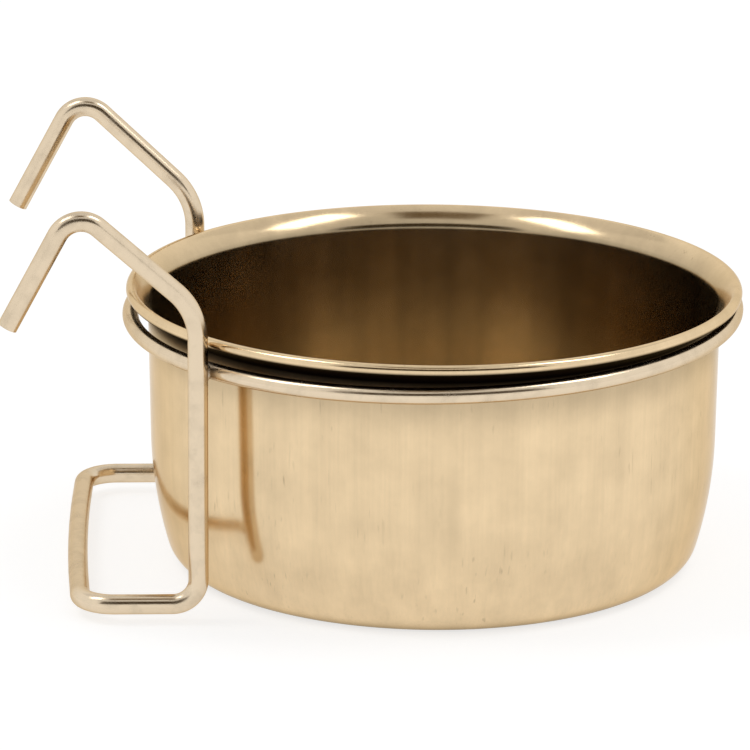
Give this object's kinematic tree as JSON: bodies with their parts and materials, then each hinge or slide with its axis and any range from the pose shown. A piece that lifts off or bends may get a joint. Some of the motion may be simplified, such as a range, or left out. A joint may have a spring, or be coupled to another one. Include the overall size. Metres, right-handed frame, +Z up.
{
  "type": "hook-on feed cup",
  "caption": "Round drawn stainless cup that drops into a bent wire holder with hooks and a stand-off loop, for hanging feed or water on a cage wall.",
  "frame": {"origin": "on the cup's axis, on the plane of its base", "axes": "+Z up out of the cup's mouth; +X away from the hooks and the cage wall; the hooks stand side by side along Y"},
  "size_m": [0.1462, 0.123, 0.0831],
  "materials": {
    "cup_steel": "drawn stainless, satin with fine upright draw lines, scuffed",
    "wire_steel": "bright drawn stainless wire",
    "weld_metal": "dull heat-tinted resistance weld"
  },
  "bodies": {
    "holder": {"hanger_wire": "wire_steel", "support_ring": "wire_steel", "front_weld": "weld_metal", "rear_weld": "weld_metal"},
    "cup": {"cup": "cup_steel"}
  },
  "joints": [
    {"name": "cup_lift", "type": "slide", "parent": "holder", "child": "cup", "axis": [0, 0, 1], "range_m": [0, 0.09]}
  ]
}
